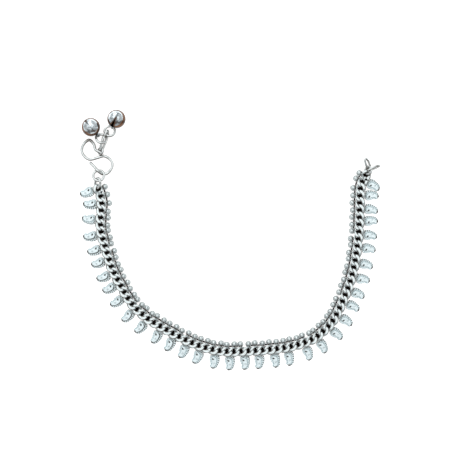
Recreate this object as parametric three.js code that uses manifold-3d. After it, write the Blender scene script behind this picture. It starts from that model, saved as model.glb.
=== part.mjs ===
// A payal: an open silver anklet lying flat, with its inner side to the left of the chain's run.
// A curb chain carries a row of small balls along its inner edge and a paisley charm on every
// second link of its outer edge. The run starts at the end link, clasp ring, S-hook and a pair
// of ghungroo bells, and ends in a tail ring with two loose oval links.
// Millimetres, +Z up, the surface it lies on is z = 0.
import * as THREE from "three";
import { mergeVertices } from "three/addons/utils/BufferGeometryUtils.js";
import Module from "manifold-3d";

const wasm = await Module();
wasm.setup();

// ---- Driving dimensions, mm and degrees ----

// The chain's centre line, from the end link at the clasp to the last link at the tail.
const CHAIN_ROUTE = [
  [-64.6, 27.3], [-61.9, 19.3], [-62.4, 10.0], [-61.9, 3.1], [-58.3, -9.0],
  [-56.2, -14.9], [-48.3, -29.2], [-41.0, -36.6], [-35.3, -40.3], [-23.0, -47.1],
  [-12.9, -51.3], [-2.6, -53.3], [8.1, -53.1], [18.7, -52.4], [29.2, -50.9],
  [39.2, -47.5], [44.9, -43.2], [49.5, -38.0], [53.9, -29.1], [57.5, -19.6],
  [59.8, -10.0], [61.5, 3.2], [62.0, 16.1], [62.5, 25.6], [64.9, 31.2],
];

const LINK = { halfLength: 2.2, halfWidth: 1.55, wire: 0.55, twist: -50, steps: 8, sides: 4 };
const LINKS = 70;
const CHAIN_START = 3.1; // the first curb link's place; the end link lies before it
const RUNS = 8; // the chain is joined along its thread in this many solids
const RUN_GAP_SHORTENING = 0.5; // links of two runs sit this much closer, so that they hang free
const CHAIN_HEIGHT = 1.15;

const BALL = { radius: 1.25, reach: 1.12, offset: 3.2, height: 1.25 };

// Where each charm hangs, as a distance along the chain.
const CHARM_PLACES = [
  2.4, 10.4, 17.8, 25.0, 31.4, 37.5, 44.3, 50.2, 57.0, 64.4, 72.2, 80.0,
  87.2, 94.2, 101.3, 108.3, 115.1, 122.1, 129.2, 136.1, 142.8, 151.3, 157.8,
  165.1, 172.0, 179.0, 185.3, 191.7, 199.1, 206.2, 212.5, 218.7, 225.0, 231.2, 238.8,
];
const CHARM_SWING = 9; // how far the loosely hung charms lean either way
const CHARM = { edge: 2.55, thickness: 0.8, bossHeight: 0.4 };

// Half-turned drop: x is towards the clasp end, y is the distance out from the chain's edge.
const CHARM_OUTLINE = [
  [0, 0], [2.0, 0.2], [2.5, 1.2], [2.35, 2.3], [1.8, 3.5], [1.4, 4.3], [1.9, 5.2],
  [1.6, 6.0], [0.7, 6.6], [-0.6, 6.4], [-1.6, 5.6], [-2.1, 4.3], [-2.5, 2.8], [-2.5, 1.3],
  [-2.0, 0.2],
];
const CHARM_BOSS = [
  [0.2, 0.8], [1.5, 1.2], [1.3, 2.6], [0.5, 3.6], [0.4, 5.2], [-0.7, 5.0], [-1.3, 3.4],
  [-1.5, 1.6],
];

// Half-thickness of the S-hook's wire, and its centre line from one end to the other.
const HOOK_WIRE = 0.5;
const HOOK_ROUTE = [
  [-61.4, 41.8, 1.3], [-63.0, 42.5, 1.4], [-64.9, 43.6, 1.1], [-65.7, 46.2, 0.6],
  [-67.9, 48.2, 0.55], [-70.2, 46.7, 0.55], [-71.5, 43.6, 0.55], [-70.9, 41.3, 0.55],
  [-69.2, 39.5, 0.55], [-67.6, 38.9, 0.55], [-64.2, 39.6, 0.55], [-60.9, 40.5, 0.55],
  [-58.2, 39.2, 0.55], [-56.8, 37.0, 0.55], [-57.2, 34.6, 0.55], [-59.3, 32.2, 0.6],
  [-61.4, 31.9, 0.95], [-63.6, 33.4, 2.2], [-65.6, 35.5, 1.7], [-67.7, 37.5, 0.6],
];

// Closed wires: centre, half-length and half-width of the centre line, wire radius, then how
// far the long axis is turned in plan, raised at its far end, and the loop rolled about it.
const LOOPS = {
  end_link: { at: [-63.72, 27.3, 2.0], half: [2.6, 1.9], wire: 0.38, turn: 72.6, rise: 26.6, roll: 140 },
  clasp_ring: { at: [-63.2, 31.1, 1.94], half: [2.65, 2.65], wire: 0.38, turn: 35.7, rise: -7.3, roll: -14.6 },
  hook_ring: { at: [-62.3, 42.9, 1.55], half: [1.65, 1.65], wire: 0.33, turn: 139, rise: -42, roll: 158 },
  bell_link: { at: [-60.5, 47.8, 2.25], half: [4.9, 1.35], wire: 0.38, turn: 70.6, rise: 4.6, roll: 56.6 },
  bell_ring_1: { at: [-61.9, 48.7, 3.33], half: [2.5, 2.5], wire: 0.42, turn: 131.6, rise: -15.2, roll: 32.8 },
  bell_ring_2: { at: [-57.9, 52.4, 1.98], half: [2.45, 2.45], wire: 0.42, turn: 154.3, rise: -3.3, roll: 12 },
  tail_ring: { at: [66.1, 33.5, 1.73], half: [1.8, 1.8], wire: 0.4, turn: 100.1, rise: -15.7, roll: -43.5 },
  tail_link_1: { at: [65.7, 36.6, 2.4], half: [3.0, 1.1], wire: 0.33, turn: 114.4, rise: 23.2, roll: -148.1 },
  tail_link_2: { at: [68.7, 34.7, 2.5], half: [3.0, 1.05], wire: 0.33, turn: 22.8, rise: -14.7, roll: 73.4 },
};
const LOOP_STEPS = 18;
const LOOP_SIDES = 6;

const BELL = { radius: 4.4, wall: 0.5, slit: 0.9, pellet: 1.2, eye: 1.0, eyeWire: 0.3 };
// Each bell: where its centre stands in plan, and which way its eye and its slit look.
const BELLS = [
  { at: [-66.7, 54.1], eyeTurn: -50, eyeDrop: 18, eyeRoll: -44, slitTurn: -95 },
  { at: [-54.5, 58.0], eyeTurn: -119, eyeDrop: 35, eyeRoll: -4, slitTurn: 0 },
];

// The routes above are laid out round this point; the part's origin is the middle of its box.
const BOX_MIDDLE = [-0.26, -0.12];

const SILVER = 0xd7dcdc;
const OXIDISED = 0x8d8a84;

// ---- Making solids ----

/** A closed three.js geometry as a manifold-3d solid. */
function toSolid(geometry) {
  const bare = geometry.clone();
  bare.deleteAttribute("normal");
  bare.deleteAttribute("uv");
  const merged = mergeVertices(bare, 1e-4);
  return new wasm.Manifold(
    new wasm.Mesh({
      numProp: 3,
      vertProperties: merged.attributes.position.array,
      triVerts: new Uint32Array(merged.index.array),
    }),
  );
}

/** A manifold-3d solid back as a three.js geometry. */
function toGeometry(solid) {
  const mesh = solid.getMesh();
  const geometry = new THREE.BufferGeometry();
  const positions = new THREE.BufferAttribute(new Float32Array(mesh.vertProperties), 3);
  geometry.setAttribute("position", positions);
  geometry.setIndex(new THREE.BufferAttribute(new Uint32Array(mesh.triVerts), 1));
  geometry.computeVertexNormals();
  return geometry;
}

/** The union of a list of closed geometries. */
function join(geometries) {
  return geometries.map(toSolid).reduce((sum, solid) => sum.add(solid));
}

function silver(color, roughness) {
  return new THREE.MeshStandardMaterial({ color, roughness, metalness: 1 });
}

function namedMesh(name, geometry, color = SILVER, roughness = 0.3) {
  const mesh = new THREE.Mesh(geometry, silver(color, roughness));
  mesh.name = name;
  return mesh;
}

const radians = THREE.MathUtils.degToRad;

// ---- Wire loops ----

/** An oval whose two ends are twisted opposite ways about its long axis, as a curb link is. */
class TwistedOval extends THREE.Curve {
  constructor(halfLength, halfWidth, twistDegrees = 0) {
    super();
    Object.assign(this, { halfLength, halfWidth, twist: radians(twistDegrees) });
  }
  getPoint(t, target = new THREE.Vector3()) {
    const angle = 2 * Math.PI * t;
    const across = this.halfWidth * Math.sin(angle);
    const roll = this.twist * Math.cos(angle);
    return target.set(
      this.halfLength * Math.cos(angle),
      across * Math.cos(roll),
      across * Math.sin(roll),
    );
  }
}

/** A closed wire: a tube along the oval that meets its own start. */
function loopGeometry(oval, wire, steps, sides) {
  return new THREE.TubeGeometry(oval, steps, wire, sides, true);
}

/** The turn that lays a loop's long axis in plan, raises its far end and rolls it. */
function loopRotation({ turn, rise, roll }) {
  return new THREE.Matrix4()
    .makeRotationZ(radians(turn))
    .multiply(new THREE.Matrix4().makeRotationY(radians(-rise)))
    .multiply(new THREE.Matrix4().makeRotationX(radians(roll)));
}

function wireLoop(name, loop) {
  const oval = new TwistedOval(loop.half[0], loop.half[1]);
  const mesh = namedMesh(name, loopGeometry(oval, loop.wire, LOOP_STEPS, LOOP_SIDES));
  mesh.applyMatrix4(loopRotation(loop));
  mesh.position.set(...loop.at);
  return mesh;
}

// ---- The chain with its balls ----

const chainCurve = new THREE.CatmullRomCurve3(
  CHAIN_ROUTE.map(([x, y]) => new THREE.Vector3(x, y, 0)),
  false,
  "catmullrom",
);
chainCurve.arcLengthDivisions = 2000;
const CHAIN_LENGTH = chainCurve.getLength();

/** Moves a thing from the chain's own frame (x along it, y to its inner side) to the place. */
function placeOnChain(distance, turnDegrees = 0) {
  const u = THREE.MathUtils.clamp(distance / CHAIN_LENGTH, 0, 1);
  const point = chainCurve.getPointAt(u);
  const tangent = chainCurve.getTangentAt(u);
  const heading = Math.atan2(tangent.y, tangent.x) + radians(turnDegrees);
  return new THREE.Matrix4().makeRotationZ(heading).setPosition(point);
}

/** Every link's place along the chain. Links that start a run sit a little closer, and the first
 * and last are twisted the other way, so that the rings of the clasp and tail lie flat in them. */
function linkPlaces() {
  const runEnds = new Set();
  for (let run = 1; run < RUNS; run += 1) runEnds.add(Math.round((run * LINKS) / RUNS));
  const length = CHAIN_LENGTH - CHAIN_START;
  const pitch = (length + runEnds.size * RUN_GAP_SHORTENING) / (LINKS - 1);
  const places = [{ distance: CHAIN_START, startsRun: true, twist: -LINK.twist }];
  for (let link = 1; link < LINKS; link += 1) {
    const startsRun = runEnds.has(link);
    const step = startsRun ? pitch - RUN_GAP_SHORTENING : pitch;
    const twist = link === LINKS - 1 ? -LINK.twist : LINK.twist;
    places.push({ distance: places[link - 1].distance + step, startsRun, twist });
  }
  return places;
}

function linkGeometry(twist) {
  const oval = new TwistedOval(LINK.halfLength, LINK.halfWidth, twist);
  return loopGeometry(oval, LINK.wire, LINK.steps, LINK.sides).translate(0, 0, CHAIN_HEIGHT);
}

function ballGeometry() {
  return new THREE.SphereGeometry(BALL.radius, 6, 4)
    .scale(1, BALL.reach, 1)
    .translate(0, BALL.offset, BALL.height);
}

/** One run of links, each soldered to the next and to its ball, as a single solid. */
function chainRun(name, places) {
  const pieces = places.flatMap(({ distance, twist }) => {
    const place = placeOnChain(distance);
    return [linkGeometry(twist), ballGeometry()].map((g) => g.applyMatrix4(place));
  });
  return namedMesh(name, toGeometry(join(pieces)), SILVER, 0.25);
}

function chainRuns() {
  const runs = [];
  for (const place of linkPlaces()) {
    if (place.startsRun) runs.push([]);
    runs.at(-1).push(place);
  }
  return runs.map((places, i) => chainRun(`curb_chain_${i + 1}`, places));
}

// ---- The charms ----

function plateGeometry(outline, from, to) {
  const shape = new THREE.Shape(outline.map(([x, y]) => new THREE.Vector2(-x, -y)));
  return new THREE.ExtrudeGeometry(shape, { depth: to - from, bevelEnabled: false })
    .translate(0, 0, from);
}

function charmGeometry() {
  const top = CHARM.thickness + CHARM.bossHeight;
  const plate = plateGeometry(CHARM_OUTLINE, 0, CHARM.thickness);
  const boss = plateGeometry(CHARM_BOSS, CHARM.thickness / 2, top);
  return toGeometry(join([plate, boss]));
}

/** How far the charm at this place leans, a fixed irregular swing along the row. */
function charmLean(index) {
  return CHARM_SWING * Math.sin(2.4 * index) * Math.cos(0.7 * index);
}

function charms() {
  const geometry = charmGeometry();
  return CHARM_PLACES.map((distance, i) => {
    const mesh = namedMesh(`paisley_charm_${String(i + 1).padStart(2, "0")}`, geometry, SILVER, 0.4);
    mesh.rotation.z = radians(charmLean(i));
    mesh.position.y = -CHARM.edge;
    const place = new THREE.Group();
    place.applyMatrix4(placeOnChain(distance));
    place.add(mesh);
    return place;
  });
}

// ---- The S-hook ----

function sHook() {
  const route = new THREE.CatmullRomCurve3(HOOK_ROUTE.map((p) => new THREE.Vector3(...p)));
  const section = new THREE.Shape().absarc(0, 0, HOOK_WIRE, 0, 2 * Math.PI);
  const geometry = new THREE.ExtrudeGeometry(section, {
    extrudePath: route,
    steps: 52,
    curveSegments: 4,
  });
  return namedMesh("s_hook", geometry);
}

// ---- The bells ----

/** A hollow ball with a wire eye at its +X pole, cut by a long slit in line with the eye. */
function bellGeometry(slitTurn, eyeRoll) {
  const outer = new THREE.SphereGeometry(BELL.radius, 16, 10);
  const inner = new THREE.SphereGeometry(BELL.radius - BELL.wall, 12, 7);
  const slit = new THREE.BoxGeometry(1.8 * BELL.radius, BELL.slit, BELL.radius)
    .translate(-0.2 * BELL.radius, 0, 0.75 * BELL.radius)
    .rotateY(radians(slitTurn));
  const eye = new THREE.TorusGeometry(BELL.eye, BELL.eyeWire, 5, 10)
    .rotateX(radians(90 + eyeRoll))
    .translate(BELL.radius + 0.62, 0, 0);
  return toGeometry(toSolid(outer).add(toSolid(eye)).subtract(toSolid(inner)).subtract(toSolid(slit)));
}

function bell(index, { at, eyeTurn, eyeDrop, eyeRoll, slitTurn }) {
  const mesh = namedMesh(`bell_${index}`, bellGeometry(slitTurn, eyeRoll), OXIDISED, 0.35);
  mesh.rotation.set(0, radians(eyeDrop), radians(eyeTurn), "ZYX");
  mesh.position.set(at[0], at[1], BELL.radius);
  return mesh;
}

function bellPellet(index, { at }) {
  const mesh = namedMesh(`bell_pellet_${index}`, new THREE.SphereGeometry(BELL.pellet, 8, 6));
  mesh.position.set(at[0], at[1], BELL.wall + 0.3 + BELL.pellet);
  return mesh;
}

// ---- The whole anklet ----

const payal = new THREE.Group();
payal.add(...chainRuns(), ...charms(), sHook());
payal.add(...Object.entries(LOOPS).map(([name, loop]) => wireLoop(name, loop)));
payal.add(...BELLS.map((b, i) => bell(i + 1, b)), ...BELLS.map((b, i) => bellPellet(i + 1, b)));
payal.position.set(-BOX_MIDDLE[0], -BOX_MIDDLE[1], 0);

export default payal;
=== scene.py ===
"""A silver payal: an open curb-chain anklet with a row of beads, a fringe of paisley charms, an
S-hook clasp, two ghungroo bells and a tail of loose links, laid flat on a pale table.

Lengths in the tables below are in millimetres in the part's frame; meshes are in metres."""

import math

import bpy
import numpy as np
from bpy.props import FloatProperty, FloatVectorProperty, IntProperty, PointerProperty
from bpy.types import Operator, Panel, PropertyGroup
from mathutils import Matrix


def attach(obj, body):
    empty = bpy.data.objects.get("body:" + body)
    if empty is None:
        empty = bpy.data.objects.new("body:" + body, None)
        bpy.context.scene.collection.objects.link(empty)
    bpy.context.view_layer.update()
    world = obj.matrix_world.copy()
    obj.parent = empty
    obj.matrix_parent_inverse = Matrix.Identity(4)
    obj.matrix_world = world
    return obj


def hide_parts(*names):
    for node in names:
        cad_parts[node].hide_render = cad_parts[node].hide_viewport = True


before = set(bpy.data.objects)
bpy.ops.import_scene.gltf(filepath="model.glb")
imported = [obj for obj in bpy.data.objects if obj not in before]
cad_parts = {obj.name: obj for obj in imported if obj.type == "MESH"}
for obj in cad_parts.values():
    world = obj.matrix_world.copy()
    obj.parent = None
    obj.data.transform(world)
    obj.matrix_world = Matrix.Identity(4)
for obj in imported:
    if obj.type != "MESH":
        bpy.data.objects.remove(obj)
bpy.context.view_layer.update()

bl_info = {
    "name": "Silver payal",
    "version": (1, 0, 0),
    "blender": (4, 5, 0),
    "location": "3D View > Sidebar > Payal",
    "description": "Builds a silver payal anklet round its packed frame",
    "category": "Add Mesh",
}

MM = 0.001

# ---- The lay of the piece, mm and degrees ----

# From the middle of the drawn routes to the middle of the part's box.
LAY_SHIFT = np.array([0.26, 0.12, 0.0])

# The chain's centre line, from the clasp to the tail.
CHAIN_ROUTE = np.array([
    [-64.6, 27.3, 0], [-61.9, 19.3, 0], [-62.4, 10.0, 0], [-61.9, 3.1, 0], [-58.3, -9.0, 0],
    [-56.2, -14.9, 0], [-48.3, -29.2, 0], [-41.0, -36.6, 0], [-35.3, -40.3, 0],
    [-23.0, -47.1, 0], [-12.9, -51.3, 0], [-2.6, -53.3, 0], [8.1, -53.1, 0], [18.7, -52.4, 0],
    [29.2, -50.9, 0], [39.2, -47.5, 0], [44.9, -43.2, 0], [49.5, -38.0, 0], [53.9, -29.1, 0],
    [57.5, -19.6, 0], [59.8, -10.0, 0], [61.5, 3.2, 0], [62.0, 16.1, 0], [62.5, 25.6, 0],
    [64.9, 31.2, 0],
])
# The first link's distance along the route, the height of all links' middles, and the number of
# links and of the pieces that they are joined in.
CHAIN_START = 3.1
CHAIN_HEIGHT = 1.15
LINKS = 70
RUNS = 8
# How much a link's wire is thicker on the outer side and thinner on the inner one, how far links
# lean to either side in degrees, and how far beads stray across and along the chain.
LINK_FULLER = 0.17
LINK_LEAN = 4.0
BEAD_STRAY_ACROSS, BEAD_STRAY_ALONG = 0.2, 0.22

# Where each charm hangs along the chain, and how far from its centre line.
CHARM_PLACES = np.array([
    2.4, 10.4, 17.8, 25.0, 31.4, 37.5, 44.3, 50.2, 57.0, 64.4, 72.2, 80.0,
    87.2, 94.2, 101.3, 108.3, 115.1, 122.1, 129.2, 136.1, 142.8, 151.3, 157.8,
    165.1, 172.0, 179.0, 185.3, 191.7, 199.1, 206.2, 212.5, 218.7, 225.0, 231.2, 238.8,
])
CHARM_EDGE = 2.55
# The charms, counted from the clasp, whose sunk line has blackened.
BLACK_LINED = (2, 4, 5, 6, 7, 8, 9, 10, 11, 12, 13)
# How far a charm leans to either side at most, in degrees.
CHARM_SWING = 9.0

# A charm's edge: x towards the clasp, y out from the chain, and how far down the curled spine
# from head to tail each point looks.
CHARM_OUTLINE = np.array([
    [0, 0, 0.0], [2.0, 0.2, 0.05], [2.5, 1.2, 0.12], [2.4, 2.3, 0.25], [2.1, 3.4, 0.5],
    [1.75, 4.3, 0.72], [2.05, 5.2, 0.95], [1.6, 6.0, 1.0], [0.7, 6.6, 0.95], [-0.6, 6.4, 0.78],
    [-1.6, 5.6, 0.62], [-2.1, 4.3, 0.45], [-2.5, 2.8, 0.25], [-2.5, 1.3, 0.1], [-2.0, 0.2, 0.05],
])
CHARM_SPINE = np.array([
    [0.1, 1.7, 0], [-0.3, 3.0, 0], [-0.3, 4.3, 0], [0.2, 5.2, 0], [0.9, 5.6, 0]])

HOOK_ROUTE = np.array([
    [-61.4, 41.8, 1.3], [-63.0, 42.5, 1.4], [-64.9, 43.6, 1.1], [-65.7, 46.2, 0.6],
    [-67.9, 48.2, 0.55], [-70.2, 46.7, 0.55], [-71.5, 43.6, 0.55], [-70.9, 41.3, 0.55],
    [-69.2, 39.5, 0.55], [-67.6, 38.9, 0.55], [-64.2, 39.6, 0.55], [-60.9, 40.5, 0.55],
    [-58.2, 39.2, 0.55], [-56.8, 37.0, 0.55], [-57.2, 34.6, 0.55], [-59.3, 32.2, 0.6],
    [-61.4, 31.9, 0.95], [-63.6, 33.4, 2.2], [-65.6, 35.5, 1.7], [-67.7, 37.5, 0.6],
])

# How far the drawn wire is raised, as it is thicker than the CAD's and would sink further into the
# table, and how far along it, as a share of its length, the brown patch on its bow lies.
HOOK_LIFT = 0.14
HOOK_BOW = 0.185

# Closed wires: centre, half-length, half-width, wire radius, then the turn in plan of the long
# axis, its rise and the roll about it.
LOOPS = {
    "end_link": ((-63.72, 27.3, 2.0), 2.6, 1.9, 0.38, 72.6, 26.6, 140),
    "clasp_ring": ((-63.2, 31.1, 1.94), 2.65, 2.65, 0.38, 35.7, -7.3, -14.6),
    "hook_ring": ((-62.3, 42.9, 1.55), 1.65, 1.65, 0.33, 139, -42, 158),
    "bell_link": ((-60.5, 47.8, 2.25), 4.9, 1.35, 0.38, 70.6, 4.6, 56.6),
    "bell_ring_1": ((-61.9, 48.7, 3.33), 2.5, 2.5, 0.42, 131.6, -15.2, 32.8),
    "bell_ring_2": ((-57.9, 52.4, 1.98), 2.45, 2.45, 0.42, 154.3, -3.3, 12),
    "tail_ring": ((66.1, 33.5, 1.73), 1.8, 1.8, 0.4, 100.1, -15.7, -43.5),
    "tail_link_1": ((65.7, 36.6, 2.4), 3.0, 1.1, 0.33, 114.4, 23.2, -148.1),
    "tail_link_2": ((68.7, 34.7, 2.5), 3.0, 1.05, 0.33, 22.8, -14.7, 73.4),
}

# The rings' wires are drawn thicker than the CAD's by these factors, the bells' rings the less.
FULL_SWELL, SLIM_SWELL = 1.6, 1.4
SLIM_LOOPS = ("bell_ring_1", "bell_ring_2")

# Each bell: its place in plan, which way its eye looks, dips and rolls, then its slit as angles
# round from the eye through the top and the slit's half-width there, and the side in plan where
# its copper painted reflection is widest, all in degrees.
BELLS = (
    ((-66.7, 54.1), -50, 18, -44, ((142, 156, 176, 190), (0.0, 2.0, 2.2, 0.0)), 218),
    ((-54.5, 58.0), -119, 35, -4, ((38, 46, 66, 140), (0.0, 10.5, 8.5, 0.0)), -32),
)
# The radius of a bell's wire eye, its wire's radius, and how far its middle is past the ball.
EYE_RADIUS, EYE_WIRE, EYE_REACH = 1.0, 0.3, 0.62

# ---- The stage, in metres ----

TABLE_REACH = 1.5
CAMERA_PLACE = (-0.0019, 0.00698, 0.604)
# Each softbox: name, place, width and watts. Both aim at the middle of the table.
SOFTBOXES = (
    ("top_softbox", (-0.1, 0.3, 1.0), 1.6, 5.8),
    ("back_softbox", (-0.3, 1.1, 0.6), 0.8, 2.4),
)


# ---- What a user would change ----

class PayalSizes(PropertyGroup):
    link_half_length: FloatProperty(
        name="Link half length",
        description="Middle of a curb link to its wire's centre at one end",
        default=0.0022, unit="LENGTH", precision=5)
    link_half_width: FloatProperty(
        name="Link half width",
        description="Middle of a curb link to its wire's centre at one side",
        default=0.00175, unit="LENGTH", precision=5)
    link_wire: FloatProperty(
        name="Link wire", description="Radius of the curb links' wire",
        default=0.0007, unit="LENGTH", precision=5)
    link_twist: FloatProperty(
        name="Link twist", description="How far each end of a curb link is twisted",
        default=math.radians(-42), subtype="ANGLE")
    link_flat: FloatProperty(
        name="Filed flat",
        description="Half the height left after the chain's faces are filed flat",
        default=0.0008, unit="LENGTH", precision=5)
    bead_radius: FloatProperty(
        name="Bead", description="Radius of the beads on the inner edge",
        default=0.00115, unit="LENGTH", precision=5)
    bead_offset: FloatProperty(
        name="Bead offset", description="Distance of the beads from the chain's centre line",
        default=0.00345, unit="LENGTH", precision=5)
    charm_plate: FloatProperty(
        name="Charm plate", description="Thickness of a charm at its milled rim",
        default=0.0008, unit="LENGTH", precision=5)
    charm_boss: FloatProperty(
        name="Charm boss", description="How far a charm's inner drop stands above its rim",
        default=0.0004, unit="LENGTH", precision=5)
    charm_mills: IntProperty(
        name="Milled notches", description="Notches round a charm's rim",
        default=18, min=6, max=40)
    hook_wire: FloatProperty(
        name="Hook wire", description="Radius of the S-hook's wire",
        default=0.00068, unit="LENGTH", precision=5)
    bell_radius: FloatProperty(
        name="Bell", description="Outer radius of a ghungroo bell",
        default=0.0044, unit="LENGTH", precision=5)
    bell_wall: FloatProperty(
        name="Bell wall", description="Thickness of a bell's sheet",
        default=0.0005, unit="LENGTH", precision=5)
    pellet_radius: FloatProperty(
        name="Pellet", description="Radius of the shot inside a bell",
        default=0.0012, unit="LENGTH", precision=5)


def srgb(code):
    """Linear red, green and blue of an sRGB hex code: each channel c is (c/12.92) below 0.04045
    and ((c + 0.055) / 1.055) to the power 2.4 above it."""
    channels = np.array([int(code[i:i + 2], 16) for i in (1, 3, 5)]) / 255
    low, high = channels / 12.92, ((channels + 0.055) / 1.055) ** 2.4
    return tuple(float(c) for c in np.where(channels <= 0.04045, low, high))


class PayalColours(PropertyGroup):
    chain: FloatVectorProperty(
        name="Chain silver", description="Buffed tops of the chain and its beads",
        default=srgb("#D5DDDD"), subtype="COLOR", min=0, max=1)
    charm: FloatVectorProperty(
        name="Charm silver", description="Whitened silver of the stamped charms",
        default=srgb("#DEE9EB"), subtype="COLOR", min=0, max=1)
    wire: FloatVectorProperty(
        name="Wire silver", description="Drawn silver wire of the hook and rings",
        default=srgb("#D8DCDB"), subtype="COLOR", min=0, max=1)
    bell: FloatVectorProperty(
        name="Bell silver", description="Burnished silver of the bells",
        default=srgb("#E2EAED"), subtype="COLOR", min=0, max=1)
    # The black of the chain: painted shade in its gaps, under its links and beads and on their
    # inner sides.
    tarnish: FloatVectorProperty(
        name="Tarnish", description="Silver sulphide left where buffing doesn't reach",
        default=srgb("#0D0A08"), subtype="COLOR", min=0, max=1)
    floor: FloatVectorProperty(
        name="Table", description="Matt white of the table",
        default=srgb("#FAFAFA"), subtype="COLOR", min=0, max=1)


# ---- Curves and surfaces ----

def spline(points, steps, even=False):
    """(steps, 3) points of a Catmull-Rom curve through the given ones: a cubic between each two,
    whose end slopes come from the neighbours on both sides, over knots spaced evenly or by the
    square root of each chord. The ends are carried on straight. Sampled evenly by length."""
    padded = np.vstack([2 * points[0] - points[1], points, 2 * points[-1] - points[-2]])
    gaps = np.linalg.norm(np.diff(padded, axis=0), axis=1)[:, None] ** (0.0 if even else 0.5)
    p0, p1, p2, p3 = padded[:-3], padded[1:-2], padded[2:-1], padded[3:]
    d0, d1, d2 = gaps[:-2], gaps[1:-1], gaps[2:]
    start = ((p1 - p0) / d0 - (p2 - p0) / (d0 + d1) + (p2 - p1) / d1) * d1
    end = ((p2 - p1) / d1 - (p3 - p1) / (d1 + d2) + (p3 - p2) / d2) * d1
    t = np.linspace(0, 1, 120, endpoint=False)[:, None, None]
    fine = (p1 + start * t + (3 * (p2 - p1) - 2 * start - end) * t**2
            + (2 * (p1 - p2) + start + end) * t**3)
    fine = np.vstack([fine.transpose(1, 0, 2).reshape(-1, 3), points[-1]])
    run = np.concatenate([[0], np.cumsum(np.linalg.norm(np.diff(fine, axis=0), axis=1))])
    at = np.linspace(0, run[-1], steps)
    return np.stack([np.interp(at, run, fine[:, k]) for k in range(3)], axis=1), run[-1]


def smooth_step(low, high, value):
    """0 below low, 1 above high, and 3t^2 - 2t^3 between them."""
    t = np.clip((value - low) / (high - low), 0, 1)
    return t * t * (3 - 2 * t)


def unit(vectors):
    """Vectors scaled to length 1."""
    return vectors / np.linalg.norm(vectors, axis=-1, keepdims=True)


def angles(count):
    """count angles round a full turn, the last one short of it."""
    return np.linspace(0, 2 * math.pi, count, endpoint=False)


def tube(centre, across, up, radius, sides):
    """(rings, sides, 3) points round a path: centre + radius (cos s across + sin s up), where
    radius may change along the path."""
    s = angles(sides)[None, :, None]
    size = np.broadcast_to(radius, len(centre))[:, None, None]
    return centre[:, None] + size * (np.cos(s) * across[:, None] + np.sin(s) * up[:, None])


def skin(rings, closed=False, tarnish=0.0):
    """One closed mesh over (rings, sides, 3) points: quads between neighbouring rings, and either
    the last ring joins the first or each end ring closes on a pole at its mean. Gives points,
    quads, triangles and each point's value of tarnish and painted light."""
    count, sides = rings.shape[:2]
    index = np.arange(count * sides).reshape(count, sides)
    first = index if closed else index[:-1]
    second = np.roll(index, -1, axis=0) if closed else index[1:]
    quads = np.stack([first, np.roll(first, -1, axis=1), np.roll(second, -1, axis=1), second], -1)
    points = rings.reshape(-1, 3)
    shade = np.broadcast_to(tarnish, (count, sides)).reshape(-1)
    triangles = np.zeros((0, 3), int)
    if not closed:
        poles = np.array([rings[0].mean(0), rings[-1].mean(0)])
        points = np.vstack([points, poles])
        shade = np.concatenate([shade, [shade[:sides].mean(), shade[-sides:].mean()]])
        low, high = index[0], index[-1]
        start = np.stack([np.full(sides, count * sides), np.roll(low, -1), low], -1)
        end = np.stack([np.full(sides, count * sides + 1), high, np.roll(high, -1)], -1)
        triangles = np.vstack([start, end])
    quads = quads.reshape(-1, 4)
    corners = np.vstack([quads[:, :3], quads[:, [0, 2, 3]], triangles])
    a, b, c = (points[corners[:, k]] for k in range(3))
    if np.einsum("ij,ij->", a, np.cross(b, c)) < 0:
        quads, triangles = quads[:, ::-1], triangles[:, ::-1]
    return points, quads, triangles, shade


def gather(parts):
    """Several meshes as one, each with its point numbers moved on past those before it."""
    starts = np.cumsum([0] + [len(part[0]) for part in parts[:-1]])
    return (
        np.vstack([part[0] for part in parts]),
        np.vstack([part[1] + start for part, start in zip(parts, starts)]),
        np.vstack([part[2] + start for part, start in zip(parts, starts)]),
        np.concatenate([part[3] for part in parts]),
    )


def moved(part, turn, place):
    """A mesh turned by a 3x3 matrix, then moved to a place."""
    return (part[0] @ turn.T + place, *part[1:])


def repeated(part, turns, places):
    """A copy of a mesh at each of the (n, 3, 3) turns and (n, 3) places."""
    points, quads, triangles, shade = part
    copies = len(places)
    step = len(points) * np.arange(copies)[:, None, None]
    return (
        (np.einsum("nij,pj->npi", turns, points) + places[:, None]).reshape(-1, 3),
        (quads[None] + step).reshape(-1, 4),
        (triangles[None] + step).reshape(-1, 3),
        np.tile(shade, copies),
    )


def turn_z(angle):
    """3x3 turns about +Z by an angle or an array of them, in radians."""
    c, s = np.cos(angle), np.sin(angle)
    zero, one = np.zeros_like(c), np.ones_like(c)
    rows = np.array([[c, -s, zero], [s, c, zero], [zero, zero, one]])
    return np.moveaxis(rows, (0, 1), (-2, -1))


def turn_y(angle):
    """3x3 turn about +Y by an angle in radians."""
    c, s = math.cos(angle), math.sin(angle)
    return np.array([[c, 0, s], [0, 1, 0], [-s, 0, c]])


def turn_x(angle):
    """3x3 turn about +X by an angle in radians."""
    c, s = math.cos(angle), math.sin(angle)
    return np.array([[1, 0, 0], [0, c, -s], [0, s, c]])


def make_piece(name, part, material, nodes, crease=40):
    """A mesh part in millimetres as an object of that name, on the body root and in
    place of its CAD nodes. Faces meeting at more than crease degrees keep a sharp edge."""
    points, quads, triangles, shade = part
    mesh = bpy.data.meshes.new(name)
    mesh.from_pydata(((points + LAY_SHIFT) * MM), [], quads.tolist() + triangles.tolist())
    # Each point's value of real tarnish and painted shade or painted reflection, read by the
    # material.
    mesh.attributes.new("tarnish", "FLOAT", "POINT").data.foreach_set("value", shade)
    mesh.polygons.foreach_set("use_smooth", np.ones(len(mesh.polygons), bool))
    mesh.set_sharp_from_angle(angle=math.radians(crease))
    mesh.materials.append(material)
    mesh.validate()
    piece = bpy.data.objects.new(name, mesh)
    bpy.context.scene.collection.objects.link(piece)
    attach(piece, "root")
    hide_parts(*nodes)
    return piece


# ---- Materials ----

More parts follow.
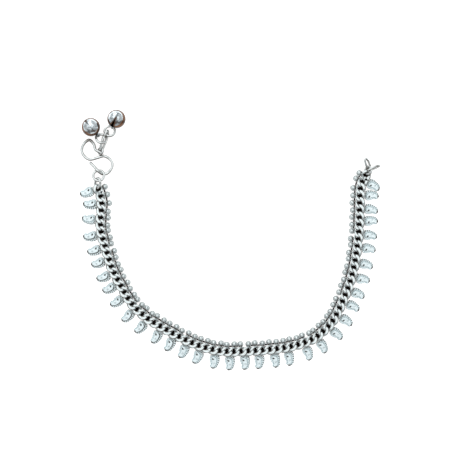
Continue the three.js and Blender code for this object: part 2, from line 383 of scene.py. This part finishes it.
def add_node(tree, kind, sockets, **settings):
    """Adds a node, with its settings, and each named or numbered socket's value or link."""
    node = tree.nodes.new(kind)
    for name, value in settings.items():
        setattr(node, name, value)
    for socket, value in sockets.items():
        if isinstance(value, bpy.types.NodeSocket):
            tree.links.new(value, node.inputs[socket])
        else:
            node.inputs[socket].default_value = value
    return node


def silver(name, clean, toned, film, black, patch, grain, relief, rough, dull):
    """A silver finish: clean metal mottled with a toned one in patches. Where the piece's own
    attribute of tarnish and painted light rises from 0 to 1 a coloured layer covers it, and from 1
    to 2 black covers that layer, both with ragged edges; on each piece these layers are partly real
    tarnish and partly painted shade or painted reflection. Patch and grain sizes and the grain's
    relief are in millimetres; rough and dull are the roughness of clean and covered metal."""
    material = bpy.data.materials.get(name)
    if material:
        return material
    material = bpy.data.materials.new(name)
    material.use_nodes = True
    tree = material.node_tree
    shader = tree.nodes["Principled BSDF"]
    place = add_node(tree, "ShaderNodeTexCoord", {}).outputs["Object"]
    # The attribute read here holds real tarnish and, on most pieces, painted shade or painted
    # reflection.
    worn = add_node(tree, "ShaderNodeAttribute", {}, attribute_name="tarnish").outputs["Fac"]
    cloud = add_node(tree, "ShaderNodeTexNoise", {
        "Vector": place, "Scale": 1 / (patch * MM), "Detail": 2.0, "Roughness": 0.6})
    clouded = add_node(tree, "ShaderNodeMath", {
        0: worn, 1: 0.5, 2: cloud.outputs["Fac"]}, operation="MULTIPLY_ADD")
    mottle = add_node(tree, "ShaderNodeMapRange", {
        "Value": clouded.outputs[0], "From Min": 0.5, "From Max": 0.7}, clamp=True)
    ragged = add_node(tree, "ShaderNodeMath", {
        0: cloud.outputs["Fac"], 1: 0.6, 2: worn}, operation="MULTIPLY_ADD")
    filmed = add_node(tree, "ShaderNodeMapRange", {
        "Value": ragged.outputs[0], "From Min": 0.55, "From Max": 1.25}, clamp=True)
    blackened = add_node(tree, "ShaderNodeMapRange", {
        "Value": ragged.outputs[0], "From Min": 1.4, "From Max": 2.1}, clamp=True)
    metal = add_node(tree, "ShaderNodeMix", {
        0: mottle.outputs[0], 6: (*clean, 1), 7: (*toned, 1)}, data_type="RGBA")
    warmed = add_node(tree, "ShaderNodeMix", {
        0: filmed.outputs[0], 6: metal.outputs[2], 7: (*film, 1)}, data_type="RGBA")
    colour = add_node(tree, "ShaderNodeMix", {
        0: blackened.outputs[0], 6: warmed.outputs[2], 7: (*black, 1)}, data_type="RGBA")
    dulled = add_node(tree, "ShaderNodeMapRange", {
        "Value": filmed.outputs[0], "To Min": rough, "To Max": dull})
    grit = add_node(tree, "ShaderNodeTexNoise", {
        "Vector": place, "Scale": 1 / (grain * MM), "Detail": 3.0})
    bump = add_node(tree, "ShaderNodeBump", {
        "Height": grit.outputs["Fac"], "Distance": relief * MM, "Strength": 0.8})
    tree.links.new(colour.outputs[2], shader.inputs["Base Color"])
    tree.links.new(dulled.outputs[0], shader.inputs["Roughness"])
    tree.links.new(bump.outputs[0], shader.inputs["Normal"])
    shader.inputs["Metallic"].default_value = 1.0
    return material


def chain_silver(colours):
    """Sterling curb chain, filed flat and buffed: mirror-bright tops with faint cloudy wear,
    brown-grey painted shade on its flanks and black painted shade in the gaps and underneath."""
    return silver("buffed_sterling_silver", colours.chain, srgb("#A3ADAF"), srgb("#7D7166"),
                  colours.tarnish, patch=0.5, grain=0.3, relief=0.01, rough=0.3, dull=0.5)


def charm_silver(colours):
    """Silver sheet struck in a die and pickled white: a fine frosted bloom that looks pale blue
    under a white light, with grey tarnish in the struck lines and grey to dark painted shade
    round its edges, side walls and tail tip."""
    return silver("struck_pickled_silver", colours.charm, srgb("#CDD9DB"), srgb("#8F918D"),
                  srgb("#2E2B28"), patch=0.7, grain=0.18, relief=0.012, rough=0.46, dull=0.6)


def wire_silver(colours):
    """Hard-drawn silver wire: satin from the draw plate, with warm brown painted shade underneath
    and on the side facing -Y, a brown patch on the hook's bow and darker solder joints.
    """
    return silver("drawn_silver_wire", colours.wire, srgb("#B9BEBD"), srgb("#6A5C4D"),
                  srgb("#241A13"), patch=2.2, grain=0.22, relief=0.008, rough=0.3, dull=0.45)


def bell_silver(colours):
    """Bells raised from thin sheet and burnished by hand: uneven pale and slate patches from
    handling, with a copper-brown painted reflection round the sides, a band of painted shade on the
    side facing -Y and black painted shade in the slit and inside."""
    return silver("burnished_bell_silver", colours.bell, srgb("#767F82"), srgb("#6D4C36"),
                  srgb("#1C140E"), patch=0.9, grain=0.8, relief=0.08, rough=0.25, dull=0.36)


def pellet_steel():
    """Cast steel shot, rolled dull grey in use, with a fine pitted skin."""
    return silver("rolled_steel_shot", srgb("#8A8D8F"), srgb("#5C5F61"), srgb("#3B3A39"),
                  srgb("#1B1A19"), patch=0.8, grain=0.15, relief=0.02, rough=0.4, dull=0.6)


# ---- The curb chain and its beads ----

def chain_places():
    """The chain's route as points, its length, and how far along it each link is, in steps of
    equal length."""
    route, length = spline(CHAIN_ROUTE, 4000, even=True)
    return route, length, np.linspace(CHAIN_START, length, LINKS)


def on_route(route, length, at):
    """Headings in radians and points of the route at the given distances."""
    run = np.linspace(0, length, len(route))
    slope = np.gradient(route, run, axis=0)
    point, along = (np.stack([np.interp(at, run, rows[:, k]) for k in range(3)], 1)
                    for rows in (route, slope))
    return np.arctan2(along[:, 1], along[:, 0]), point


def curb_link(sizes, twist):
    """One link: a round wire along (a cos t, w cos q, w sin q), where w = b sin t and the roll
    q = twist cos t, thickest on the outer side, then cut flat above and below. Its outer flank
    carries brown-grey painted shade and its inner and lower sides black painted shade."""
    t = angles(30)
    width = sizes.link_half_width / MM * np.sin(t)
    roll = twist * np.cos(t)
    centre = np.stack([sizes.link_half_length / MM * np.cos(t),
                       width * np.cos(roll), width * np.sin(roll)], 1)
    along = unit(np.roll(centre, -1, axis=0) - np.roll(centre, 1, axis=0))
    up = unit(np.array([0, 0, 1.0]) - along[:, 2:] * along)
    across = np.cross(up, along)
    rings = tube(centre, across, up, sizes.link_wire / MM - LINK_FULLER * np.sin(t), 12)
    facing = unit(rings - centre[:, None])
    outward = np.einsum("rsk,rk->rs", facing[..., :2], unit(centre[:, :2] + 1e-9))
    flat = sizes.link_flat / MM
    side = np.sin(t)[:, None]
    # Painted shade: brown-grey on the outer flank, black on the inner side and underneath.
    tarnish = ((0.75 - 0.6 * side) * smooth_step(0.62, 0.97, outward)
               + 1.9 * abs(side) * smooth_step(0.5, 0.97, -outward)
               + 1.2 * smooth_step(0.0, -0.5, facing[..., 2]))
    rings[..., 2] = np.clip(rings[..., 2], -flat, flat)
    return skin(rings, closed=True, tarnish=tarnish)


def link_web(sizes):
    """A black sheet of painted shade in a link's opening: a flat oval lens, thinner to its edge."""
    s, rows = angles(14), np.array([0.15, 0.6, 1.0, 0.6, 0.15])[:, None]
    lift = np.array([0.12, 0.1, 0.0, -0.1, -0.12])[:, None]
    x = 0.37 * sizes.link_half_length / MM * rows * np.cos(s)
    y = 0.7 * sizes.link_half_width / MM * rows * np.sin(s) + 0.12
    return skin(np.stack([x, y, np.broadcast_to(lift - 0.1, x.shape)], -1), tarnish=2.2)


def bead(sizes):
    """A bead in a thin wire collar: a ball of rings (r sin p) at heights (r cos p), held by a
    round wire whose centre line is a circle just outside it at mid height."""
    radius = sizes.bead_radius / MM
    p, s = np.linspace(0.12, math.pi - 0.12, 11)[:, None], angles(16)[None]
    ball = radius * np.stack([np.sin(p) * np.cos(s), np.sin(p) * np.sin(s), np.cos(p) + 0 * s], -1)
    # Painted shade: the ball darkens on its lower half and turns black on its side towards the
    # chain.
    shade = (1 - smooth_step(0.1, 0.65, np.cos(p) + 0 * s)
             + 2.0 * smooth_step(0.5, 0.9, -np.sin(p) * np.sin(s)))
    t = angles(20)
    out = np.stack([np.cos(t), np.sin(t), 0 * t], 1)
    up = np.tile([0, 0, 1.0], (20, 1))
    collar = tube((radius + 0.1) * out, out, up, 0.24, 8)
    rise = np.broadcast_to(np.sin(angles(8)), (20, 8))
    # Painted shade: the collar darkens below its middle and on its side towards the chain.
    worn = (1.3 * (1 - smooth_step(0.0, 0.8, rise))
            + 0.9 * smooth_step(0.3, 1.0, -np.sin(t))[:, None])
    return gather([skin(ball, tarnish=shade), skin(collar, closed=True, tarnish=worn)])


def bead_rail(line, left, between, sizes):
    """The wire that the beads are soldered to: a tube along the chain, between the links and the
    beads, thicker and black where between nears 1, halfway from one bead to the next: painted shade
    there."""
    centre = line + 0.72 * sizes.bead_offset / MM * left - [0, 0, 0.4]
    along = unit(np.gradient(centre, axis=0))
    up = np.tile([0, 0, 1.0], (len(centre), 1))
    rings = tube(centre, np.cross(up, along), up, 0.2 + 0.2 * between, 8)
    return skin(rings, tarnish=0.1 + 2.2 * between[:, None])


def bead_arm(sizes):
    """The bent wire that ties a bead to its link: a tube from the link's side to the bead's foot,
    along a shallow arch."""
    t = np.linspace(0, 1, 7)
    start, end = sizes.link_half_width / MM, (sizes.bead_offset - sizes.bead_radius) / MM + 0.2
    centre = np.stack([0 * t, start + (end - start) * t, 0.35 * np.sin(math.pi * t)], 1)
    across = np.tile([1.0, 0, 0], (7, 1))
    up = np.tile([0, 0, 1.0], (7, 1))
    return skin(tube(centre, across, up, 0.5, 8), tarnish=0.15)


class PAYAL_OT_chain(Operator):
    """Builds the curb chain with its beads, one piece for each run of links"""
    bl_idname = "payal.chain"
    bl_label = "Curb chain"

    def execute(self, context):
        sizes, colours = context.scene.payal_sizes, context.scene.payal_colours
        route, length, places = chain_places()
        heading, point = on_route(route, length, places)
        left = np.stack([-np.sin(heading), np.cos(heading), 0 * heading], 1)
        ahead = np.stack([np.cos(heading), np.sin(heading), 0 * heading], 1)
        point[:, 2] = CHAIN_HEIGHT
        # Each link carries a black lens of painted shade in its opening and the arm to its bead.
        fittings = [link_web(sizes), bead_arm(sizes)]
        link = gather([curb_link(sizes, sizes.link_twist), *fittings])
        end_link = gather([curb_link(sizes, -sizes.link_twist), *fittings])
        ball = bead(sizes)
        edges = [round(run * LINKS / RUNS) for run in range(RUNS + 1)]
        order = np.arange(LINKS)
        lean = np.radians(LINK_LEAN) * np.sin(2.1 * order)
        inward = sizes.bead_offset / MM + BEAD_STRAY_ACROSS * np.sin(3.7 * order)
        along = BEAD_STRAY_ALONG * np.sin(2.9 * order)
        beside = left * inward[:, None] + ahead * along[:, None] + [0, 0, 0.1]
        for run, (first, last) in enumerate(zip(edges[:-1], edges[1:]), 1):
            here = np.arange(first, last)
            turns = turn_z(heading + lean)
            chain = [repeated(kind, turns[chosen], point[chosen]) for kind, chosen in (
                (link, here[(here > 0) & (here < LINKS - 1)]),
                (end_link, here[(here == 0) | (here == LINKS - 1)]),
            ) if len(chosen)]
            beads = repeated(ball, turn_z(heading[here]), point[here] + beside[here])
            reach = np.linspace(places[first] - 0.6, min(places[last - 1] + 0.6, length),
                                8 * (last - first))
            bend, line = on_route(route, length, reach)
            beside_route = np.stack([-np.sin(bend), np.cos(bend), 0 * bend], 1)
            # Painted shade: between peaks halfway between beads, where the rail swells black.
            between = np.sin(math.pi * (reach - places[0]) / (places[1] - places[0])) ** 4
            rail = bead_rail(line + [0, 0, CHAIN_HEIGHT], beside_route, between, sizes)
            make_piece(f"beaded_chain_{run}", gather([*chain, beads, rail]), chain_silver(colours),
                       [f"curb_chain_{run}"], crease=55)
        return {"FINISHED"}


# ---- The charms ----

def charm(sizes, line_black):
    """A struck drop: rings shrink from its edge towards the curled spine, and each ring's height
    follows the die: a milled rim, a sunk line round the raised inner drop and two sunk dots. Below
    the rim the edge drops to a flat back. The sunk line lies nearer the middle on the bulging
    side, where it is tarnished by line_black."""
    edge, _ = spline(np.vstack([CHARM_OUTLINE, CHARM_OUTLINE[:1]]), 121)
    edge = edge[:-1]
    spine, _ = spline(CHARM_SPINE, 60)
    heart = np.stack([np.interp(edge[:, 2], np.linspace(0, 1, 60), spine[:, k]) for k in (0, 1)], 1)
    rows = np.concatenate([[0.04, 0.16], np.linspace(0.26, 0.98, 15), [1.0]])[:, None]
    plate, boss = sizes.charm_plate / MM, sizes.charm_boss / MM
    bulging = smooth_step(-0.6, 0.8, -edge[:, 0])[None]
    line = 0.7 - 0.24 * bulging
    groove = np.exp(-((rows - line) / 0.07) ** 2)
    inner = 1 - smooth_step(-0.16, 0.0, rows - line)
    rim = smooth_step(0.06, 0.2, rows - line)
    mills = (0.5 + 0.5 * np.cos(sizes.charm_mills * angles(120)))[None] ** 3
    notch = 0.13 * mills * smooth_step(0.9, 1.0, rows)
    reach = (rows - notch / np.linalg.norm(edge[:, :2] - heart, axis=1))[..., None]
    plan = heart + reach * (edge[:, :2] - heart)
    dots = sum(np.exp(-((plan[..., 0] - x) ** 2 + (plan[..., 1] - y) ** 2) / 0.28**2)
               for x, y in ((0.6, 2.1), (0.95, 1.85), (-0.15, 4.05)))
    height = (plate + boss * inner - 0.2 * groove - 0.2 * rim * mills - 0.36 * dots
              - 0.2 * smooth_step(0.95, 1.0, rows))
    tip = np.exp(-((plan[..., 0] - 0.9) / 1.0) ** 2 - ((plan[..., 1] - 6.35) / 0.5) ** 2)
    head = smooth_step(0.75, 0.1, plan[..., 1])
    # Painted shade: a dark patch at the tail's tip and a darker band at the rim's edge; the sunk
    # line, milled notches and dots darken in their hollows, and the head is darker.
    tarnish = ((0.1 + line_black * bulging) * groove + (0.2 + 1.4 * bulging) * rim * mills
               + 1.6 * dots + 2.0 * tip + 0.5 * head + 0.35 * smooth_step(0.9, 1.0, rows))
    top = np.concatenate([plan, np.broadcast_to(height, plan.shape[:2])[..., None]], -1)
    foot = plan[-1] - heart
    wall = np.stack([np.column_stack([heart + k * foot, np.full(120, z)])
                     for k, z in ((1.0, 0.25), (0.97, 0.02), (0.9, 0.0), (0.04, 0.0))])
    rings = np.concatenate([top, wall])
    rings[..., :2] *= -1
    # The side walls and flat back below the rim carry painted shade.
    return skin(rings, tarnish=np.concatenate([np.clip(tarnish, 0, 2), np.full((4, 120), 1.0)]))


def charm_bail():
    """The rolled tab that hangs a charm: a strip bent round an axis along the chain, as a ridged
    tube whose radius ripples along it."""
    x = np.linspace(-1.25, 1.25, 26)
    centre = np.stack([x, 0 * x + 0.12, 0 * x + 0.82], 1)
    across, up = np.tile([0, 1.0, 0], (26, 1)), np.tile([0, 0, 1.0], (26, 1))
    ridges = 0.5 + 0.5 * np.cos(2 * math.pi * x / 0.62)
    rings = tube(centre, across, up, 0.42 + 0.07 * ridges, 12)
    rise = np.sin(angles(12))[None] + 0 * x[:, None]
    # Painted shade: the tab is dark underneath and between its ridges, lighter on top and on the
    # ridges.
    tarnish = 1.45 - 0.8 * smooth_step(0.3, 1.0, rise) - 0.35 * ridges[:, None]
    return skin(rings, tarnish=tarnish)


class PAYAL_OT_charms(Operator):
    """Builds the fringe of paisley charms, each leaning a little its own way"""
    bl_idname = "payal.charms"
    bl_label = "Paisley charms"

    def execute(self, context):
        sizes, colours = context.scene.payal_sizes, context.scene.payal_colours
        route, length, _ = chain_places()
        heading, point = on_route(route, length, CHARM_PLACES)
        order = np.arange(len(CHARM_PLACES))
        lean = np.radians(CHARM_SWING * np.sin(2.4 * order) * np.cos(0.7 * order))
        out = np.stack([np.sin(heading), -np.cos(heading), 0 * heading], 1)
        pale, lined, bail = charm(sizes, 0.0), charm(sizes, 1.5), charm_bail()
        for k in order:
            place = point[k] + CHARM_EDGE * out[k]
            part = gather([
                moved(lined if k + 1 in BLACK_LINED else pale, turn_z(heading[k] + lean[k]), place),
                moved(bail, turn_z(heading[k]), place),
            ])
            name = f"paisley_charm_{k + 1:02d}"
            make_piece(f"struck_{name}", part, charm_silver(colours), [name],
                       crease=70)
        return {"FINISHED"}


# ---- The S-hook and the rings ----

class PAYAL_OT_hook(Operator):
    """Builds the S-hook: a wire along its bent route, rounded off at both ends"""
    bl_idname = "payal.hook"
    bl_label = "S-hook"

    def execute(self, context):
        sizes, colours = context.scene.payal_sizes, context.scene.payal_colours
        centre, length = spline(HOOK_ROUTE, 260)
        centre[:, 2] += HOOK_LIFT
        along = unit(np.gradient(centre, axis=0))
        up = unit(np.array([0, 0, 1.0]) - along[:, 2:] * along)
        across = np.cross(up, along)
        wire = sizes.hook_wire / MM
        from_end = np.minimum(np.linspace(0, length, 260), np.linspace(length, 0, 260))
        radius = wire * np.sqrt(1 - (1 - np.clip(from_end / wire, 0.02, 1)) ** 2)
        rings = tube(centre, across, up, radius, 16)
        rise = np.broadcast_to(np.sin(angles(16)), (260, 16))
        bow = np.exp(-((np.linspace(0, 1, 260) - HOOK_BOW) / 0.05) ** 2)[:, None]
        low = -unit(rings - centre[:, None])[..., 1]
        # Painted shade: the wire darkens underneath and, more, on its side facing -Y; bow adds a
        # brown patch on the hook's bow.
        tarnish = (1.1 * (1 - smooth_step(0.1, 0.65, rise)) + 1.2 * smooth_step(0.35, 0.9, low)
                   + 0.6 * bow)
        part = skin(rings, tarnish=tarnish)
        make_piece("bent_s_hook", part, wire_silver(colours), ["s_hook"])
        return {"FINISHED"}


def wire_loop(half_length, half_width, wire, swell, turn):
    """A closed round wire along the oval (a cos t, b sin t), nipped and darkened where its ends
    were soldered, with painted shade on whichever sides end up facing down and facing -Y after the
    turn."""
    t = angles(72)
    centre = np.stack([half_length * np.cos(t), half_width * np.sin(t), 0 * t], 1)
    out = unit(np.stack([half_width * np.cos(t), half_length * np.sin(t), 0 * t], 1))
    up = np.tile([0, 0, 1.0], (72, 1))
    joint = np.exp(-((t - 1.1) / 0.09) ** 2)
    rings = tube(centre, out, up, wire * (swell - 0.16 * joint), 14)
    facing = unit(rings - centre[:, None])
    turned = facing @ turn.T
    # Painted shade on the faces turned down and towards -Y; the joint is darker.
    tarnish = (1 - smooth_step(0.1, 0.6, turned[..., 2])
               + 1.2 * smooth_step(0.35, 0.9, -turned[..., 1]) + 0.6 * joint[:, None])
    return skin(rings, closed=True, tarnish=tarnish)


class PAYAL_OT_rings(Operator):
    """Builds the soldered rings and loose oval links of the clasp and the tail"""
    bl_idname = "payal.rings"
    bl_label = "Rings and loose links"

    def execute(self, context):
        colours = context.scene.payal_colours
        for name, (at, half_length, half_width, wire, turn, rise, roll) in LOOPS.items():
            matrix = (turn_z(math.radians(turn)) @ turn_y(-math.radians(rise))
                      @ turn_x(math.radians(roll)))
            swell = SLIM_SWELL if name in SLIM_LOOPS else FULL_SWELL
            loop = wire_loop(half_length, half_width, wire, swell, matrix)
            part = moved(loop, matrix, np.array(at))
            make_piece(f"soldered_{name}", part, wire_silver(colours), [name])
        return {"FINISHED"}


# ---- The bells ----

def bell_half(radius, wall, side, slit, toned, turn):
    """Half a bell's shell, to one side of its seam: latitude runs from the seam or the slit's lip
    up to the side's pole, outside and back inside. Along the seam's circle the lip stands off by a
    hair, and by the slit's own half-width where the slit is. As it stands after the turn, the
    outside carries a copper-brown painted reflection round its flanks, higher up on the toned side,
    with a band of painted shade across the side facing -Y and painted shade along the slit's lips,
    and fades back to clean silver below; the seam is darker. The inside is black painted shade."""
    along = angles(120)
    half_slit = np.interp(np.degrees(along), *slit)
    open_ = smooth_step(0.0, 1.5, half_slit)
    lip = np.radians(0.12 + half_slit)
    rows = np.concatenate([[0, 0.02, 0.06], np.linspace(0.12, 0.985, 20)])
    latitude = lip + rows[:, None] * (math.pi / 2 - lip)
    swell = 1 - 0.006 * np.exp(-(rows / 0.035) ** 2)[:, None]
    shells = []
    for size, order in ((radius, slice(None, None, -1)), (radius - wall, slice(None))):
        r = size * swell
        shell = np.stack([r * np.cos(latitude) * np.cos(along), side * r * np.sin(latitude),
                          r * np.cos(latitude) * np.sin(along)], -1)
        shells.append(shell[order])
    seam = np.exp(-(rows / 0.05) ** 2)[:, None] + 0 * along
    lips = np.exp(-(rows / 0.1) ** 2)[:, None] * open_
    # Painted reflection and shade: copper round the flanks, widest on the toned side; shaded is a
    # band of painted shade on the side facing -Y.
    facing = unit(shells[0] @ turn.T)
    rise = facing[..., 2]
    toward = facing[..., 0] * math.cos(toned) + facing[..., 1] * math.sin(toned)
    shaded = np.exp(-((facing @ np.array([0.2, -0.98, 0.0]) - 0.52) / 0.16) ** 2)
    outside = (1.15 * (1 - smooth_step(0.42, 0.6, rise - 0.2 * np.clip(toward, 0, 1)))
               + 0.6 * np.exp(-((rise - 0.05) / 0.22) ** 2) - 0.9 * smooth_step(-0.15, -0.65, rise)
               + 0.5 * shaded + 0.3 * seam[::-1] + 0.5 * lips[::-1])
    tarnish = np.concatenate([outside, np.full(outside.shape, 2.2)])
    return skin(np.concatenate(shells), tarnish=tarnish)


def bell_eye(radius, roll):
    """The bell's eye: a round wire circle standing on its pole."""
    t = angles(40)
    out = np.stack([np.cos(t), 0 * t, np.sin(t)], 1)
    side = np.tile([0, 1.0, 0], (40, 1))
    ring = tube(EYE_RADIUS * out, out, side, EYE_WIRE, 12)
    return moved(skin(ring, closed=True, tarnish=0.2), turn_x(math.radians(roll)),
                 np.array([radius + EYE_REACH, 0, 0]))


def pellet(radius):
    """A piece of shot: a ball whose radius is pulled in by a few shallow dents, each a bell curve
    of the angle from its middle."""
    p, s = np.linspace(0.1, math.pi - 0.1, 20)[:, None], angles(32)[None]
    facing = np.stack([np.sin(p) * np.cos(s), np.sin(p) * np.sin(s), np.cos(p) + 0 * s], -1)
    middles = unit(np.array([
        [1, 0.2, 0.6], [-0.5, 0.9, 0.3], [-0.7, -0.6, 0.5], [0.3, -0.9, -0.4], [0.1, 0.4, -1]]))
    dents = np.exp(-(1 - facing @ middles.T) / 0.06).sum(-1)
    return skin(radius * (1 - 0.06 * dents)[..., None] * facing, tarnish=0.3 + 0.6 * dents)


class PAYAL_OT_bells(Operator):
    """Builds the two ghungroo bells with their eyes and the shot inside them"""
    bl_idname = "payal.bells"
    bl_label = "Ghungroo bells"

    def execute(self, context):
        sizes, colours = context.scene.payal_sizes, context.scene.payal_colours
        radius, wall = sizes.bell_radius / MM, sizes.bell_wall / MM
        shot = sizes.pellet_radius / MM
        for k, (at, eye_turn, eye_drop, eye_roll, slit, toned) in enumerate(BELLS, 1):
            facing = turn_z(math.radians(eye_turn)) @ turn_y(math.radians(eye_drop))
            halves = [bell_half(radius, wall, side, slit, math.radians(toned), facing)
                      for side in (1, -1)]
            part = moved(gather([*halves, bell_eye(radius, eye_roll)]), facing,
                         np.array([*at, radius]))
            make_piece(f"ghungroo_{k}", part, bell_silver(colours), [f"bell_{k}"])
            loose = moved(pellet(shot), np.eye(3), np.array([*at, wall + 0.3 + shot]))
            make_piece(f"ghungroo_shot_{k}", loose, pellet_steel(),
                       [f"bell_pellet_{k}"])
        return {"FINISHED"}


# ---- The stage ----

class PAYAL_OT_stage(Operator):
    """Sets the pale table, the soft lights and the camera looking straight down"""
    bl_idname = "payal.stage"
    bl_label = "Table, lights and camera"

    def execute(self, context):
        scene = context.scene
        mesh = bpy.data.meshes.new("white_table")
        corners = TABLE_REACH * np.array([[-1, -1, 0], [1, -1, 0], [1, 1, 0], [-1, 1, 0]])
        mesh.from_pydata(corners, [], [[0, 1, 2, 3]])
        mesh.materials.append(self.table_finish(scene.payal_colours))
        table = bpy.data.objects.new("white_table", mesh)
        scene.collection.objects.link(table)

        world = bpy.data.worlds.new("studio_room")
        world.use_nodes = True
        world.node_tree.nodes["Background"].inputs["Color"].default_value = (*srgb("#D2D4D6"), 1)
        world.node_tree.nodes["Background"].inputs["Strength"].default_value = 0.85
        scene.world = world
        for name, place, size, power in SOFTBOXES:
            data = bpy.data.lights.new(name, "AREA")
            data.shape = "DISK"
            data.size = size
            data.energy = power
            lamp = bpy.data.objects.new(name, data)
            lamp.location = place
            ray = -np.array(place)
            lamp.rotation_euler = (math.atan2(math.hypot(ray[0], ray[1]), -ray[2]), 0,
                                   math.atan2(ray[1], ray[0]) - math.pi / 2)
            scene.collection.objects.link(lamp)

        data = bpy.data.cameras.new("overhead_camera")
        data.lens, data.sensor_width = 100.0, 36.0
        data.clip_start, data.clip_end = 0.01, 20.0
        camera = bpy.data.objects.new("overhead_camera", data)
        camera.location = CAMERA_PLACE
        scene.collection.objects.link(camera)
        scene.camera = camera
        scene.view_settings.view_transform = "Standard"
        return {"FINISHED"}

    def table_finish(self, colours):
        """Matt white laminate: nearly even, with a faint cloud and a fine tooth."""
        material = bpy.data.materials.new("matt_white_laminate")
        material.use_nodes = True
        tree = material.node_tree
        shader = tree.nodes["Principled BSDF"]
        place = add_node(tree, "ShaderNodeTexCoord", {}).outputs["Object"]
        cloud = add_node(tree, "ShaderNodeTexNoise", {"Vector": place, "Scale": 12.0})
        paint = add_node(tree, "ShaderNodeMix", {
            0: cloud.outputs["Fac"], 6: (*colours.floor, 1), 7: (*srgb("#F4F4F4"), 1)},
            data_type="RGBA")
        tree.links.new(paint.outputs[2], shader.inputs["Base Color"])
        shader.inputs["Roughness"].default_value = 0.9
        shader.inputs["Specular IOR Level"].default_value = 0.1
        shader.inputs["Emission Color"].default_value = (1, 1, 1, 1)
        shader.inputs["Emission Strength"].default_value = 0.7
        return material


# ---- The panel and the run ----

class PAYAL_PT_panel(Panel):
    bl_idname = "PAYAL_PT_panel"
    bl_label = "Silver payal"
    bl_space_type = "VIEW_3D"
    bl_region_type = "UI"
    bl_category = "Payal"

    def draw(self, context):
        for operator in OPERATORS:
            self.layout.operator(operator.bl_idname)
        for group in (context.scene.payal_sizes, context.scene.payal_colours):
            box = self.layout.box()
            for name in group.bl_rna.properties.keys():
                if name not in ("rna_type", "name"):
                    box.prop(group, name)


OPERATORS = (
    PAYAL_OT_chain, PAYAL_OT_charms, PAYAL_OT_hook, PAYAL_OT_rings, PAYAL_OT_bells, PAYAL_OT_stage,
)
CLASSES = (PayalSizes, PayalColours, *OPERATORS, PAYAL_PT_panel)


def register():
    for kind in CLASSES:
        bpy.utils.register_class(kind)
    bpy.types.Scene.payal_sizes = PointerProperty(type=PayalSizes)
    bpy.types.Scene.payal_colours = PointerProperty(type=PayalColours)


def unregister():
    del bpy.types.Scene.payal_sizes
    del bpy.types.Scene.payal_colours
    for kind in reversed(CLASSES):
        bpy.utils.unregister_class(kind)


def main():
    """Registers the tools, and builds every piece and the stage."""
    register()
    bpy.ops.payal.chain()
    bpy.ops.payal.charms()
    bpy.ops.payal.hook()
    bpy.ops.payal.rings()
    bpy.ops.payal.bells()
    bpy.ops.payal.stage()


if __name__ == "__main__":
    main()
